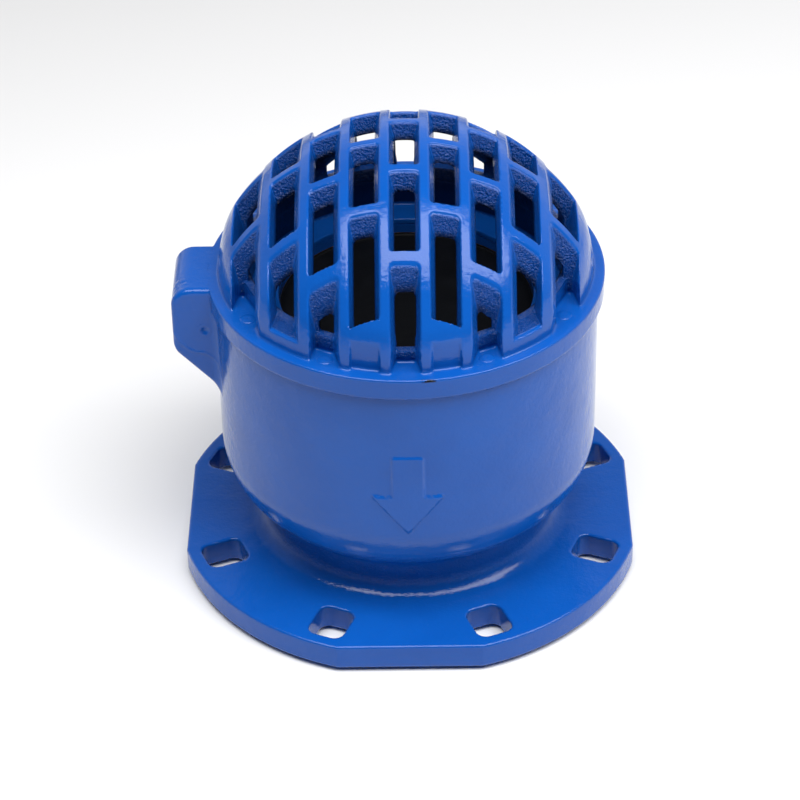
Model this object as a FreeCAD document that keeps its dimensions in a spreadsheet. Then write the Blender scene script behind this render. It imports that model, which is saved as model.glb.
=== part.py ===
import FreeCAD, Part
import math
import os

import Sketcher

# Flanged foot valve, nominal bore 150, lying on its flange with the strainer up.
# Frame: millimetres. Origin at the centre of the flange's sealing face, +Z along the bore
# towards the strainer, -X towards the hinge housing, Y along the hinge pin.

# How far a cutting shape reaches past the surface it opens.
SPARE = 1.0

doc = FreeCAD.newDocument("FootValve")
sheet = doc.addObject("Spreadsheet::Sheet", "Sizes")

SIZES = [
    # flange
    ("BoltCircleRadius", 120.0),
    ("FlangeMargin", 22.5),
    ("FlatDepth", 6.5),
    ("PlateThick", 16.0),
    ("FaceRaise", 3.0),
    ("FaceInset", 14.5),
    ("SlotCount", 8),
    ("SlotHalfWidth", 11.0),
    ("SlotTravel", 3.5),
    ("SlotCorner", 6.0),
    # body shell
    ("BoreRadius", 75.0),
    ("NeckWall", 12.0),
    ("NeckHeight", 25.0),
    ("NeckFillet", 12.0),
    ("FlapSideGap", 21.5),
    ("BodyWall", 8.5),
    ("BowlHeight", 41.0),
    ("BarrelHeight", 97.0),
    ("RimWidth", 14.6),
    ("RimDepth", 17.0),
    ("RimSlope", 6.0),
    ("SpigotClearance", 0.4),
    ("GasketThick", 1.0),
    ("GasketInset", 0.5),
    # strainer cage
    ("RingLip", 3.5),
    ("RingThick", 13.3),
    ("RingLedge", 6.5),
    ("SpigotDepth", 10.0),
    ("SeatFloorThick", 7.0),
    ("SillThick", 6.0),
    ("SillRise", 10.2),
    ("DomeOverhang", 5.3),
    ("DomeHeight", 86.2),
    ("DomeThick", 12.0),
    ("OuterRibInset", 8.525),
    ("RibCount", 10),
    ("RibWidth", 5.3),
    ("RibDraft", 3.5),
    ("DraftDepth", 13.0),
    ("BarPitch", 51.5),
    ("BarWidth", 5.3),
    ("BarDraft", 3.0),
    ("FrontWallThick", 10.5),
    ("RearWallThick", 6.0),
    ("CurbRise", 8.7),
    # cage screws
    ("ScrewInset", 8.0),
    ("ScrewRadius", 3.0),
    ("ScrewHoleRadius", 3.3),
    ("ScrewHeadRadius", 4.75),
    ("ScrewHeadHeight", 3.2),
    ("ScrewHeadRound", 0.8),
    ("ScrewSeatDepth", 2.0),
    ("ScrewSeatRadius", 5.2),
    ("ScrewThread", 10.0),
    ("ScrewBoreSpare", 2.0),
    ("ScrewSlotWidth", 1.2),
    ("ScrewSlotDepth", 1.2),
    # seat ring
    ("SeatWidth", 13.0),
    ("SeatHeight", 6.0),
    ("SeatProud", 3.0),
    ("SeatChamfer", 1.0),
    # flap
    ("FlapGap", 0.3),
    ("FlapOverlap", 8.0),
    ("FlapRubberThick", 12.0),
    ("FlapRubberEdge", 6.0),
    ("FlapRubberChamfer", 1.5),
    ("FlapLipInset", 1.0),
    ("FlapLipRise", 1.0),
    ("FlapCoreThick", 7.0),
    ("FlapSkin", 2.7),
    ("FlapBossRadius", 14.0),
    ("FlapBossDrop", 4.7),
    ("StemRadius", 8.0),
    ("StemChamfer", 1.0),
    ("StemTail", 8.0),
    # hinge arm
    ("PinOffset", 5.0),
    ("ArmWidth", 24.0),
    ("ArmNeckWidth", 14.0),
    ("ArmNeckReach", 18.0),
    ("ArmCrankReach", 42.0),
    ("EyeRadius", 17.0),
    ("EyeClearance", 0.25),
    ("HubWall", 4.0),
    ("HubWidth", 16.0),
    ("HubClearance", 0.5),
    ("WasherRadius", 15.0),
    ("WasherThick", 3.0),
    ("NutAcrossFlats", 24.0),
    ("NutHeight", 13.0),
    ("SplitPinRadius", 1.8),
    ("SplitPinSlack", 0.2),
    ("SplitPinLength", 26.0),
    ("SplitPinDrop", 3.5),
    # hinge pin and what sits on it
    ("PinRadius", 4.0),
    ("PinClearance", 0.05),
    ("BushWall", 2.0),
    ("BushGap", 0.4),
    ("ThrustWidth", 5.0),
    ("ThrustThick", 0.8),
    ("ThrustGap", 0.2),
    ("ThrustRoom", 0.1),
    ("PlugLength", 3.0),
    ("PinEndCover", 2.0),
    ("SpringWireRadius", 1.0),
    ("SpringPinGap", 1.2),
    ("SpringPitch", 2.1),
    ("SpringTurns", 3),
    ("SpringGap", 0.6),
    ("SpringLegGap", 0.1),
    ("SpringArmGap", 0.2),
    ("SpringArmLeg", 34.0),
    # hinge housing
    ("EarWall", 6.5),
    ("EarBeyondPin", 19.0),
    ("EarOuterWall", 6.0),
    ("EarRound", 12.0),
    ("EarBelowPin", 17.0),
    ("EarFootBelowPin", 40.0),
    ("EarGap", 0.3),
    ("PocketRoof", 3.5),
    ("PocketUnderHub", 2.0),
    ("PocketHeelInset", 5.0),
    ("PocketHeelDrop", 37.0),
    ("PocketFootDrop", 47.0),
    ("PocketMouthDepth", 12.5),
]

for row, (alias, amount) in enumerate(SIZES, start=1):
    sheet.set(f"A{row}", alias)
    sheet.set(f"B{row}", str(amount))
    sheet.setAlias(f"B{row}", alias)

# Levels and places that follow from the sizes, kept in the sheet so that every piece shares them.
DERIVED = [
    ("FlangeRadius", "BoltCircleRadius + FlangeMargin"),
    ("FlangeFlat", "FlangeRadius - FlatDepth"),
    ("FaceRadius", "BoltCircleRadius - FaceInset"),
    ("NeckRadius", "BoreRadius + NeckWall"),
    ("FlapRubberRadius", "BoreRadius + FlapOverlap"),
    ("FlapCoreRadius", "FlapRubberRadius - FlapRubberEdge"),
    ("BodyInner", "FlapRubberRadius + FlapSideGap"),
    ("BodyRadius", "BodyInner + BodyWall"),
    ("BowlRadius", "((BodyRadius - NeckRadius)^2 + BowlHeight^2) / (2 * (BodyRadius - NeckRadius))"),
    ("RimInner", "BodyRadius - RimWidth"),
    ("BoreOffset", "BowlRadius - BodyRadius + BoreRadius"),
    ("SpigotRadius", "RimInner - SpigotClearance"),
    ("RingRadius", "BodyRadius + RingLip"),
    ("FootRadius", "RingRadius - RingLedge"),
    ("PlateTop", "FaceRaise + PlateThick"),
    ("NeckTop", "PlateTop + NeckHeight"),
    ("BowlTop", "NeckTop + BowlHeight"),
    ("BodyTop", "BowlTop + BarrelHeight"),
    ("BoreTop", "BowlTop - sqrt((BowlRadius - BodyWall)^2 - BoreOffset^2)"),
    ("RingBase", "BodyTop + GasketThick"),
    ("RingTop", "RingBase + RingThick"),
    ("DomeBase", "FootRadius + DomeOverhang"),
    ("DomeRadius", "(DomeBase^2 + DomeHeight^2) / (2 * DomeHeight)"),
    ("DomeApex", "RingTop + DomeHeight"),
    ("DomeCentre", "DomeApex - DomeRadius"),
    ("RibPitch", "2 * (FootRadius - OuterRibInset) / (RibCount - 1)"),
    ("ScrewCircleRadius", "BodyRadius - ScrewInset"),
    ("ScrewSeat", "RingTop - ScrewSeatDepth"),
    ("SeatFloorBase", "RingBase - SpigotDepth"),
    ("SeatFace", "SeatFloorBase - SeatProud"),
    ("FlapTop", "SeatFace - FlapGap"),
    ("FlapBase", "FlapTop - FlapRubberThick"),
    ("CoreTop", "FlapTop - FlapSkin"),
    ("CoreBase", "CoreTop - FlapCoreThick"),
    ("BushRadius", "PinRadius + BushWall"),
    ("HubRadius", "BushRadius + HubWall"),
    ("ThrustRadius", "PinRadius + ThrustWidth"),
    ("SpringRadius", "PinRadius + SpringPinGap + SpringWireRadius"),
    ("ArmThick", "2 * (SpringRadius - SpringWireRadius - SpringArmGap)"),
    ("ArmTop", "FlapBase - FlapBossDrop"),
    ("ArmBase", "ArmTop - ArmThick"),
    ("NutTop", "ArmBase - WasherThick"),
    ("NutBase", "NutTop - NutHeight"),
    ("StemEnd", "NutBase - StemTail"),
    ("PocketTop", "BodyTop - PocketRoof"),
    ("PinLevel", "PocketTop - HubClearance - HubRadius"),
    ("PinX", "BodyRadius + PinOffset"),
    ("ArmBendX", "PinX - ArmCrankReach"),
    ("EarReach", "PinX + EarBeyondPin"),
    ("SpringStart", "HubWidth / 2 + SpringGap + SpringWireRadius"),
    ("SpringLength", "SpringPitch * SpringTurns"),
    ("ThrustFace", "SpringStart + SpringLength + SpringWireRadius + ThrustRoom"),
    ("PocketHalf", "ThrustFace + ThrustThick + ThrustGap"),
    ("EarWidth", "2 * (PocketHalf + EarWall)"),
    ("PocketReach", "EarReach - EarOuterWall"),
    ("PocketHeel", "BodyRadius - PocketHeelInset"),
    ("PocketMouth", "BodyInner - PocketMouthDepth"),
]

base_row = len(SIZES)
for row, (alias, formula) in enumerate(DERIVED, start=base_row + 1):
    sheet.set(f"A{row}", alias)
    sheet.set(f"B{row}", "=" + formula)
    sheet.setAlias(f"B{row}", alias)
doc.recompute()


def size(name):
    """A size's number as the sheet holds it now."""
    return float(getattr(sheet, name))


def linked(formula):
    """A formula in sheet names, written so that an object outside the sheet can read it."""
    words = []
    word = ""
    for letter in formula + " ":
        if letter.isalnum() or letter == "_":
            word += letter
            continue
        words.append("Sizes." + word if word and hasattr(sheet, word) and word[0].isupper() else word)
        words.append(letter)
        word = ""
    return "".join(words).strip()


def number(formula):
    """What a formula in sheet names comes to."""
    return float(sheet.evalExpression(linked(formula)))


def bind(item, **formulas):
    """Tie properties of an object to formulas in sheet names."""
    for prop, formula in formulas.items():
        item.setExpression(prop, linked(formula))


def new_body(label):
    body = doc.addObject("PartDesign::Body", label)
    body.Label = label
    return body


def new_sketch(body, role, name, lift=None):
    """A sketch on one of the body's own origin planes, raised along its normal by a formula."""
    sketch = body.newObject("Sketcher::SketchObject", name)
    plane = [f for f in body.Origin.OriginFeatures if f.Role == role][0]
    sketch.AttachmentSupport = [(plane, "")]
    sketch.MapMode = "FlatFace"
    if lift:
        sketch.setExpression("AttachmentOffset.Base.z", linked(lift))
    return sketch


def outline(sketch, corners):
    """A closed outline. Each corner is (across, up) or (across, up, radius, bulge): with a radius
    the edge to the next corner is an arc, bulging left (+1) or right (-1) of the way along."""
    spots = [FreeCAD.Vector(number(c[0]), number(c[1]), 0) for c in corners]
    edges = []
    for i, corner in enumerate(corners):
        first = spots[i]
        last = spots[(i + 1) % len(spots)]
        if len(corner) == 2:
            edges.append(sketch.addGeometry(Part.LineSegment(first, last), False))
            continue
        edges.append(sketch.addGeometry(arc_between(first, last, number(corner[2]), corner[3]), False))
    for i, corner in enumerate(corners):
        here = edges[i]
        after = edges[(i + 1) % len(edges)]
        start, finish = ends(sketch, here, spots[i])
        next_start, _ = ends(sketch, after, spots[(i + 1) % len(spots)])
        sketch.addConstraint(Sketcher.Constraint("Coincident", here, finish, after, next_start))
        place(sketch, here, start, corner)
        if len(corner) > 2:
            tie(sketch, Sketcher.Constraint("Radius", here, number(corner[2])), corner[2])


def arc_between(first, last, radius, bulge):
    """The arc from one spot to another that bulges left (+1) or right (-1), stored anticlockwise."""
    chord = last - first
    half = chord.Length / 2
    inward = FreeCAD.Vector(chord.y, -chord.x, 0).normalize() * bulge
    centre = (first + last) * 0.5 + inward * math.sqrt(max(radius * radius - half * half, 0))
    angles = [math.atan2(spot.y - centre.y, spot.x - centre.x) for spot in (first, last)]
    if bulge > 0:
        angles.reverse()
    if angles[1] < angles[0]:
        angles[1] += 2 * math.pi
    full = Part.Circle(centre, FreeCAD.Vector(0, 0, 1), radius)
    return Part.ArcOfCircle(full, angles[0], angles[1])


def ends(sketch, edge, start_spot):
    """Which end of an edge is at its start corner (1 or 2), and which is the other."""
    geometry = sketch.Geometry[edge]
    if geometry.StartPoint.distanceToPoint(start_spot) < geometry.EndPoint.distanceToPoint(start_spot):
        return 1, 2
    return 2, 1


def place(sketch, edge, end, corner):
    """Hold one corner of an outline at its two formulas."""
    for kind, formula in (("DistanceX", corner[0]), ("DistanceY", corner[1])):
        value = number(formula)
        tie(sketch, Sketcher.Constraint(kind, -1, 1, edge, end, value), formula)


def tie(sketch, constraint, formula):
    index = sketch.addConstraint(constraint)
    sketch.setExpression(f"Constraints[{index}]", linked(formula))


def circle(sketch, radius, across="0", up="0"):
    spot = FreeCAD.Vector(number(across), number(up), 0)
    index = sketch.addGeometry(Part.Circle(spot, FreeCAD.Vector(0, 0, 1), number(radius)), False)
    tie(sketch, Sketcher.Constraint("Radius", index, number(radius)), radius)
    for kind, formula in (("DistanceX", across), ("DistanceY", up)):
        tie(sketch, Sketcher.Constraint(kind, -1, 1, index, 3, number(formula)), formula)


def revolve(body, name, corners):
    """Turn an outline given in (radius, height) about the Z axis."""
    sketch = new_sketch(body, "XZ_Plane", name + "Outline")
    outline(sketch, corners)
    turned = body.newObject("PartDesign::Revolution", name)
    turned.Profile = sketch
    turned.ReferenceAxis = (sketch, ["V_Axis"])
    turned.Angle = 360
    doc.recompute()
    return turned


def pad(body, name, sketch, length, centred=False):
    """Add an extrusion of a sketch along its normal, or half each way."""
    added = body.newObject("PartDesign::Pad", name)
    added.Profile = sketch
    bind(added, Length=length)
    added.Midplane = centred
    doc.recompute()
    return added


def pocket(body, name, sketch, length, centred=False, reverse=False):
    """Cut an extrusion of a sketch, and stop if it took nothing away."""
    before = body.Shape.Volume
    cut = body.newObject("PartDesign::Pocket", name)
    cut.Profile = sketch
    bind(cut, Length=length)
    cut.Midplane = centred
    cut.Reversed = reverse
    doc.recompute()
    if body.Shape.Volume > before - 1e-3:
        raise RuntimeError(f"{name} cut nothing from {body.Label}")
    return cut


def polar(body, name, feature, sketch, count):
    """Repeat a feature about the Z axis, evenly round the circle."""
    pattern = body.newObject("PartDesign::PolarPattern", name)
    pattern.Originals = [feature]
    pattern.Axis = (sketch, ["N_Axis"])
    pattern.Angle = 360
    bind(pattern, Occurrences=count)
    body.Tip = pattern
    doc.recompute()
    return pattern


def edges_where(shape, wanted):
    """Names of the edges whose middle point passes a test."""
    names = []
    for i, edge in enumerate(shape.Edges, start=1):
        middle = edge.valueAt((edge.FirstParameter + edge.LastParameter) / 2)
        if wanted(edge, middle):
            names.append(f"Edge{i}")
    return names


def fillet(body, name, radius, wanted):
    base = body.Tip
    names = edges_where(base.Shape, wanted)
    if not names:
        raise RuntimeError(f"{name} found no edge on {body.Label}")
    rounded = body.newObject("PartDesign::Fillet", name)
    rounded.Base = (base, names)
    bind(rounded, Radius=radius)
    doc.recompute()
    return rounded


def plain(label, kind, **formulas):
    """A Part primitive bound to the sheet."""
    item = doc.addObject(kind, label)
    item.Label = label
    bind(item, **formulas)
    return item


def along_y(item, start, x="-PinX", z="PinLevel"):
    """Lay a primitive's own Z axis along +Y, starting at a given Y."""
    item.Placement = FreeCAD.Placement(FreeCAD.Vector(), FreeCAD.Rotation(FreeCAD.Vector(1, 0, 0), -90))
    bind(item, **{"Placement.Base.x": x, "Placement.Base.y": start, "Placement.Base.z": z})
    return item


def joined(label, items):
    """Several solids fused into one."""
    union = doc.addObject("Part::MultiFuse", label)
    union.Label = label
    union.Shapes = items
    return union


def less(label, base, tool):
    cut = doc.addObject("Part::Cut", label)
    cut.Label = label
    cut.Base = base
    cut.Tool = tool
    return cut


# ---------------------------------------------------------------- valve body


def make_valve_body():
    """Flange, neck, bowl and barrel in one turned casting, with the hinge housing on its side."""
    body = new_body("valve_body")
    revolve(body, "BodyShell", [
        ("BoreRadius", "0"),
        ("FaceRadius", "0"),
        ("FaceRadius", "FaceRaise"),
        ("FlangeRadius", "FaceRaise"),
        ("FlangeRadius", "PlateTop"),
        ("NeckRadius + NeckFillet", "PlateTop", "NeckFillet", 1),
        ("NeckRadius", "PlateTop + NeckFillet"),
        ("NeckRadius", "NeckTop", "BowlRadius", -1),
        ("BodyRadius", "BowlTop"),
        ("BodyRadius", "BodyTop"),
        ("RimInner", "BodyTop"),
        ("RimInner", "BodyTop - RimDepth"),
        ("BodyInner", "BodyTop - RimDepth - RimSlope"),
        ("BodyInner", "BowlTop", "BowlRadius - BodyWall", 1),
        ("BoreRadius", "BoreTop"),
    ])

    flats = new_sketch(body, "XY_Plane", "FlangeFlats")
    reach = "FlangeRadius * 1.2"
    outline(flats, [
        ("-(" + reach + ")", "-(" + reach + ")"),
        (reach, "-(" + reach + ")"),
        (reach, reach),
        ("-(" + reach + ")", reach),
    ])
    outline(flats, [
        ("-FlangeFlat", "-FlangeFlat"),
        ("FlangeFlat", "-FlangeFlat"),
        ("FlangeFlat", "FlangeFlat"),
        ("-FlangeFlat", "FlangeFlat"),
    ])
    pocket(body, "FlangeTrim", flats, "PlateTop", reverse=True)

    slot = new_sketch(body, "XY_Plane", "BoltSlot")
    slot.AttachmentOffset = FreeCAD.Placement(
        FreeCAD.Vector(), FreeCAD.Rotation(FreeCAD.Vector(0, 0, 1), 180.0 / size("SlotCount")))
    inner = "BoltCircleRadius - SlotHalfWidth"
    outer = "BoltCircleRadius + SlotTravel + SlotHalfWidth"
    outline(slot, [
        (inner + " + SlotCorner", "-SlotHalfWidth"),
        (outer + " - SlotCorner", "-SlotHalfWidth", "SlotCorner", -1),
        (outer, "-SlotHalfWidth + SlotCorner"),
        (outer, "SlotHalfWidth - SlotCorner", "SlotCorner", -1),
        (outer + " - SlotCorner", "SlotHalfWidth"),
        (inner + " + SlotCorner", "SlotHalfWidth", "SlotCorner", -1),
        (inner, "SlotHalfWidth - SlotCorner"),
        (inner, "-SlotHalfWidth + SlotCorner", "SlotCorner", -1),
    ])
    first = pocket(body, "FirstSlot", slot, "PlateTop", reverse=True)
    polar(body, "BoltSlots", first, slot, "SlotCount")

    ear = new_sketch(body, "XZ_Plane", "EarOutline")
    outline(ear, [
        ("-(BodyRadius - BodyWall / 2)", "RingTop"),
        ("-(BodyRadius - BodyWall / 2)", "PinLevel - EarFootBelowPin"),
        ("-BodyRadius", "PinLevel - EarFootBelowPin"),
        ("-EarReach", "PinLevel - EarBelowPin"),
        ("-EarReach", "RingTop"),
    ])
    pad(body, "Ear", ear, "EarWidth", centred=True)
    reach_x = -size("EarReach")
    top = size("RingTop")
    fillet(body, "EarShoulder", "EarRound",
           lambda e, p: abs(p.x - reach_x) < 0.01 and abs(p.z - top) < 0.01)

    nest = new_sketch(body, "XY_Plane", "RingNestCircle", "RingTop + GasketThick")
    circle(nest, "RingRadius + EarGap")
    pocket(body, "RingNest", nest, "RingTop + GasketThick - BodyTop")

    mouth = new_sketch(body, "XZ_Plane", "EarPocketOutline")
    outline(mouth, [
        ("-PocketMouth", "PocketTop"),
        ("-PocketReach", "PocketTop"),
        ("-PocketReach", "PinLevel - HubRadius - PocketUnderHub"),
        ("-PocketHeel", "PinLevel - PocketHeelDrop"),
        ("-PocketHeel", "PinLevel - PocketFootDrop"),
        ("-PocketMouth", "PinLevel - PocketFootDrop"),
    ])
    pocket(body, "EarPocket", mouth, "2 * PocketHalf", centred=True)

    bore = new_sketch(body, "XZ_Plane", "PinBoreCircle")
    circle(bore, "PinRadius", "-PinX", "PinLevel")
    bind(bore, **{"AttachmentOffset.Base.z": "EarWidth / 2"})
    pocket(body, "PinBore", bore, "EarWidth - PinEndCover")

    holes = new_sketch(body, "XY_Plane", "ScrewBores", "BodyTop")
    for across, along in screw_formulas():
        circle(holes, "ScrewRadius", across, along)
    pocket(body, "ScrewBoreCut", holes, "ScrewThread + ScrewBoreSpare")
    return body


def screw_formulas():
    """Centres of the cage screws as formulas: in the even window columns, on one circle."""
    return [(f"{column} * RibPitch", f"{side} * sqrt(ScrewCircleRadius^2 - ({column} * RibPitch)^2)")
            for column in (-4, -2, 2, 4) for side in (-1, 1)]


def screw_spots():
    """The same centres as points."""
    return [FreeCAD.Vector(number(across), number(along), 0) for across, along in screw_formulas()]


# ---------------------------------------------------------------- strainer cage


def cage_slab(offset, half_width, draft, along):
    """A rib or bar: a disc about a level line through the dome's centre, thin at the dome's
    surface and thicker inwards, as the mould's draft leaves it."""
    reach = math.sqrt(max(size("DomeRadius") ** 2 - offset ** 2, size("DraftDepth") ** 2))
    narrow = half_width - draft * SPARE / size("DraftDepth")
    far = reach + SPARE
    near = max(reach - size("DraftDepth"), SPARE)
    middle = along * offset + FreeCAD.Vector(0, 0, size("DomeCentre"))
    disc = Part.makeCylinder(far, 2 * narrow, middle - along * narrow, along)
    flare = half_width + draft - narrow
    flares = [Part.makeCone(far, near, flare, middle + side * narrow, side) for side in (along, -along)]
    return disc.multiFuse(flares)


def upright(radius, low, high):
    return Part.makeCylinder(radius, high - low, FreeCAD.Vector(0, 0, low))


def cage_lattice():
    """Ribs across X, and short bars between them that step by half a pitch from one column of
    windows to the next. Odd columns have a curb at the foot, and the first of them a wall too.
    The half on the +X side is made and mirrored; the middle column has its bars only."""
    pitch = size("RibPitch")
    rib_pairs = int(size("RibCount")) // 2
    low = size("RingTop")
    front_wall = size("FootRadius") - size("FrontWallThick")
    rear_wall = size("FootRadius") - size("RearWallThick")
    across = FreeCAD.Vector(1, 0, 0)
    shell = cage_shell()
    reach = 2 * size("DomeRadius")
    middle_bars = []
    half = []
    for i in range(rib_pairs):
        half.append(cage_slab((i + 0.5) * pitch, size("RibWidth") / 2, size("RibDraft"), across))
    for column in range(rib_pairs + 1):
        start = (column - 0.5) * pitch
        box = Part.makeBox(pitch, 2 * reach, 2 * reach, FreeCAD.Vector(start, -reach, low - SPARE))
        bars = column_bars(column, box)
        if column == 0:
            middle_bars = bars
            continue
        half.extend(bars)
        if column % 2 == 1:
            half.append(box.common(upright(reach, low - SPARE, low + size("CurbRise"))))
        if column == 1:
            for wall_y in (-front_wall - reach, rear_wall):
                corner = FreeCAD.Vector(start, wall_y, low - SPARE)
                half.append(Part.makeBox(pitch, reach, 2 * reach, corner))
    half = [piece.common(shell) for piece in half]
    half = [piece for piece in half if piece.Volume > 1.0]
    mirrored = [piece.mirror(FreeCAD.Vector(), across) for piece in half]
    middle_bars = [bar.common(shell) for bar in middle_bars]
    return half[0].multiFuse(half[1:] + mirrored + middle_bars)


def column_bars(column, box):
    """The bars in one column of windows, cut to the column's box."""
    steps = (-1, 0, 1) if column % 2 == 1 else (-1.5, -0.5, 0.5, 1.5)
    nearest = size("RibPitch") * max(column - 0.5, 0)
    bars = []
    for step in steps:
        offset = step * size("BarPitch")
        if size("DomeRadius") ** 2 - offset ** 2 > nearest ** 2:
            bar = cage_slab(offset, size("BarWidth") / 2, size("BarDraft"), FreeCAD.Vector(0, 1, 0))
            bars.append(bar.common(box))
    return bars


def cage_shell():
    """The dome's wall, trimmed to the upright foot that stands on the ring. Inside it is hollow
    to a sphere about the same centre, and below that to the middle of the sill."""
    low = size("RingTop")
    centre = FreeCAD.Vector(0, 0, size("DomeCentre"))
    above = size("DomeApex") + SPARE
    dome = Part.makeSphere(size("DomeRadius"), centre)
    hollow = Part.makeSphere(size("DomeRadius") - size("DomeThick"), centre)
    hollow = hollow.common(upright(size("SpigotRadius") - size("SillThick") / 2, low - SPARE, above))
    foot = upright(size("FootRadius"), low - SPARE / 2, above)
    return dome.common(foot).cut(hollow)


def make_strainer_cage():
    """Domed strainer, its bolted ring, the sill inside the ribs' feet, and the spigot that
    carries the valve seat."""
    low = size("RingTop")
    base = size("RingBase")
    floor = size("SeatFloorBase")
    lattice = cage_lattice()
    sill_inner = size("SpigotRadius") - size("SillThick")
    ring = upright(size("RingRadius"), base, low)
    spigot = upright(size("SpigotRadius"), floor, low + size("SillRise"))
    whole = lattice.fuse([ring, spigot])
    seat_top = size("SeatFace") + size("SeatHeight")
    whole = whole.cut(upright(sill_inner, floor + size("SeatFloorThick"), low + size("SillRise") + SPARE))
    whole = whole.cut(upright(size("BoreRadius"), floor - SPARE, low))
    whole = whole.cut(upright(size("BoreRadius") + size("SeatWidth"), floor - SPARE, seat_top))
    for spot in screw_spots():
        foot = FreeCAD.Vector(spot.x, spot.y, base - SPARE)
        seat = FreeCAD.Vector(spot.x, spot.y, size("ScrewSeat"))
        whole = whole.cut(Part.makeCylinder(size("ScrewHoleRadius"), size("RingThick") + 2 * SPARE, foot))
        whole = whole.cut(Part.makeCylinder(size("ScrewSeatRadius"), 2 * size("ScrewHeadHeight"), seat))
    cage = doc.addObject("Part::Feature", "strainer_cage")
    cage.Label = "strainer_cage"
    cage.Shape = whole.removeSplitter()
    cage.Placement = FreeCAD.Placement()
    return cage


def make_strainer_screws():
    """Slotted pan-head screws that hold the cage ring on the body."""
    seat = size("ScrewSeat")
    tip = size("BodyTop") - size("ScrewThread")
    solids = []
    for spot in screw_spots():
        foot = FreeCAD.Vector(spot.x, spot.y, tip)
        shank = Part.makeCylinder(size("ScrewRadius"), seat + SPARE - tip, foot)
        head = Part.makeCylinder(size("ScrewHeadRadius"), size("ScrewHeadHeight"),
                                 FreeCAD.Vector(spot.x, spot.y, seat))
        rim = [edge for edge in head.Edges
               if edge.Curve.TypeId == "Part::GeomCircle" and edge.valueAt(0).z > seat + SPARE]
        head = head.makeFillet(size("ScrewHeadRound"), rim)
        corner = FreeCAD.Vector(spot.x - 2 * size("ScrewHeadRadius"),
                                spot.y - size("ScrewSlotWidth") / 2,
                                seat + size("ScrewHeadHeight") - size("ScrewSlotDepth"))
        slot = Part.makeBox(4 * size("ScrewHeadRadius"), size("ScrewSlotWidth"),
                            size("ScrewSlotDepth") + SPARE, corner)
        solids.append(head.fuse(shank).cut(slot).removeSplitter())
    screws = doc.addObject("Part::Feature", "strainer_screws")
    screws.Label = "strainer_screws"
    screws.Shape = Part.makeCompound(solids)
    screws.Placement = FreeCAD.Placement()
    return screws


def make_body_gasket():
    """Flat joint between the body's rim and the cage ring, holed for the screws."""
    body = new_body("body_gasket")
    revolve(body, "GasketRing", [
        ("RimInner + GasketInset", "BodyTop"),
        ("BodyRadius - GasketInset", "BodyTop"),
        ("BodyRadius - GasketInset", "RingBase"),
        ("RimInner + GasketInset", "RingBase"),
    ])
    holes = new_sketch(body, "XY_Plane", "GasketHoles", "RingBase")
    for across, along in screw_formulas():
        circle(holes, "ScrewHoleRadius", across, along)
    pocket(body, "GasketHoleCut", holes, "GasketThick")
    return body


def make_seat_ring():
    """Bronze ring pressed into the underside of the spigot; the flap closes against it."""
    body = new_body("seat_ring")
    revolve(body, "SeatTurned", [
        ("BoreRadius", "SeatFace"),
        ("BoreRadius + SeatWidth - SeatChamfer", "SeatFace"),
        ("BoreRadius + SeatWidth", "SeatFace + SeatChamfer"),
        ("BoreRadius + SeatWidth", "SeatFace + SeatHeight"),
        ("BoreRadius", "SeatFace + SeatHeight"),
    ])
    return body


# ---------------------------------------------------------------- flap


def make_flap_core():
    """Iron disc with a boss and a threaded stem, drilled for the split pin."""
    body = new_body("flap_core")
    revolve(body, "CoreTurned", [
        ("0", "CoreTop"),
        ("0", "StemEnd"),
        ("StemRadius - StemChamfer", "StemEnd"),
        ("StemRadius", "StemEnd + StemChamfer"),
        ("StemRadius", "ArmTop"),
        ("FlapBossRadius", "ArmTop"),
        ("FlapBossRadius", "CoreBase"),
        ("FlapCoreRadius", "CoreBase"),
        ("FlapCoreRadius", "CoreTop"),
    ])
    hole = new_sketch(body, "XZ_Plane", "SplitPinHole")
    circle(hole, "SplitPinRadius + SplitPinSlack", "0", "NutBase - SplitPinDrop")
    pocket(body, "SplitPinBore", hole, "4 * StemRadius", centred=True)
    return body


def make_flap_rubber():
    """Rubber moulded all over the iron disc, with a raised sealing lip towards the seat."""
    body = new_body("flap_rubber")
    lip_in = "BoreRadius + FlapLipInset"
    revolve(body, "RubberMoulded", [
        ("FlapBossRadius", "FlapBase"),
        ("FlapRubberRadius - FlapRubberChamfer", "FlapBase"),
        ("FlapRubberRadius", "FlapBase + FlapRubberChamfer"),
        ("FlapRubberRadius", "FlapTop - FlapRubberChamfer"),
        ("FlapRubberRadius - FlapRubberChamfer", "FlapTop"),
        (lip_in, "FlapTop"),
        (lip_in + " - 2 * FlapLipRise", "FlapTop - FlapLipRise"),
        ("0", "FlapTop - FlapLipRise"),
        ("0", "CoreTop"),
        ("FlapCoreRadius", "CoreTop"),
        ("FlapCoreRadius", "CoreBase"),
        ("FlapBossRadius", "CoreBase"),
    ])
    return body


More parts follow.
